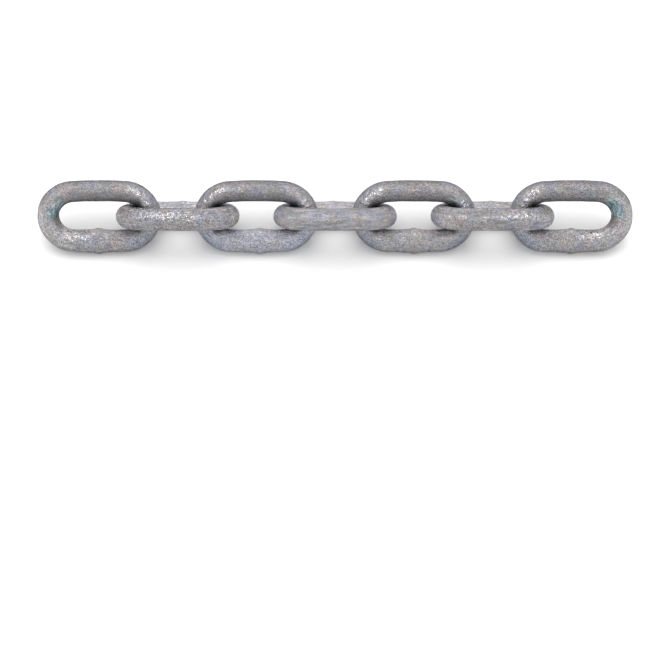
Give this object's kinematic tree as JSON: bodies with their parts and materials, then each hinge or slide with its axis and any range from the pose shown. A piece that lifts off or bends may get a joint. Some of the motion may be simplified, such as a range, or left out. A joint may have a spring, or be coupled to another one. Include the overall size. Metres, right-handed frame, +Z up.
{
  "type": "anchor chain length",
  "caption": "Straight length of welded round-wire anchor chain in hot-dip galvanised steel; each link swings in its neighbour's eye, and the eye at either end is free.",
  "frame": {"origin": "on the floor, under the middle of the chain", "axes": "+X along the chain, +Y across it and away from the picture's viewer, +Z up"},
  "size_m": [0.2152, 0.0208, 0.0209],
  "materials": {
    "zinc": "hot-dip galvanised, dull lumpy zinc"
  },
  "bodies": {
    "link_1": {"link_1": "zinc"},
    "link_2": {"link_2": "zinc"},
    "link_3": {"link_3": "zinc"},
    "link_4": {"link_4": "zinc"},
    "link_5": {"link_5": "zinc"},
    "link_6": {"link_6": "zinc"},
    "link_7": {"link_7": "zinc"}
  },
  "joints": [
    {"name": "swing_1_2", "type": "hinge", "parent": "link_1", "child": "link_2", "pos_m": [-0.0668, 0, 0.01043], "axis": [0, 0.7071, 0.7071], "range_deg": [-120, 120]},
    {"name": "swing_2_3", "type": "hinge", "parent": "link_2", "child": "link_3", "pos_m": [-0.0384, 0, 0.01043], "axis": [0, 0.7071, -0.7071], "range_deg": [-120, 120]},
    {"name": "swing_3_4", "type": "hinge", "parent": "link_3", "child": "link_4", "pos_m": [-0.01, 0, 0.01043], "axis": [0, -0.7071, -0.7071], "range_deg": [-120, 120]},
    {"name": "swing_4_5", "type": "hinge", "parent": "link_4", "child": "link_5", "pos_m": [0.0184, 0, 0.01043], "axis": [0, -0.7071, 0.7071], "range_deg": [-120, 120]},
    {"name": "swing_5_6", "type": "hinge", "parent": "link_5", "child": "link_6", "pos_m": [0.0468, 0, 0.01043], "axis": [0, 0.7071, 0.7071], "range_deg": [-120, 120]},
    {"name": "swing_6_7", "type": "hinge", "parent": "link_6", "child": "link_7", "pos_m": [0.0752, 0, 0.01043], "axis": [0, 0.7071, -0.7071], "range_deg": [-120, 120]}
  ]
}
